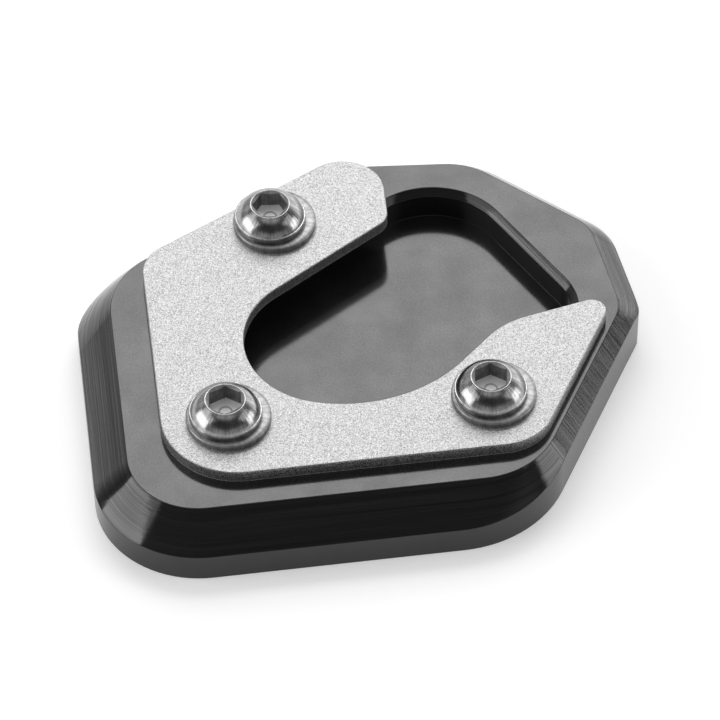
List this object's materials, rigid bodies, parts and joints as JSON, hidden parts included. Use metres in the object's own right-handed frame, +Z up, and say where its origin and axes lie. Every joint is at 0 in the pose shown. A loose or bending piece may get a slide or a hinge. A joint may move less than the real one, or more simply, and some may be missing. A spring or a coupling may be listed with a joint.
{
  "type": "kickstand foot enlarger",
  "caption": "Wide bevelled base with a pocket for the foot of a stand, a U-shaped clamp plate round the pocket, and button-head screws with washers.",
  "frame": {"origin": "middle of the base's underside, at the level of the ground it stands on", "axes": "+Z up through the screws' heads; +X along the straight front edge, towards the narrow end; +Y towards the back"},
  "size_m": [0.0826, 0.0714, 0.0158],
  "materials": {
    "black_anodised_aluminium": "black anodised, satin gloss, fine milling lines on the bevels",
    "blasted_aluminium": "bead blasted and clear anodised, matt",
    "bright_screw_steel": "turned bright, fine rings",
    "bright_washer_steel": "polished"
  },
  "bodies": {
    "root": {"base_plate": "black_anodised_aluminium", "clamp_plate": "blasted_aluminium", "rear_screw": "bright_screw_steel", "front_left_screw": "bright_screw_steel", "front_right_screw": "bright_screw_steel", "rear_washer": "bright_washer_steel", "front_left_washer": "bright_washer_steel", "front_right_washer": "bright_washer_steel"}
  },
  "joints": []
}
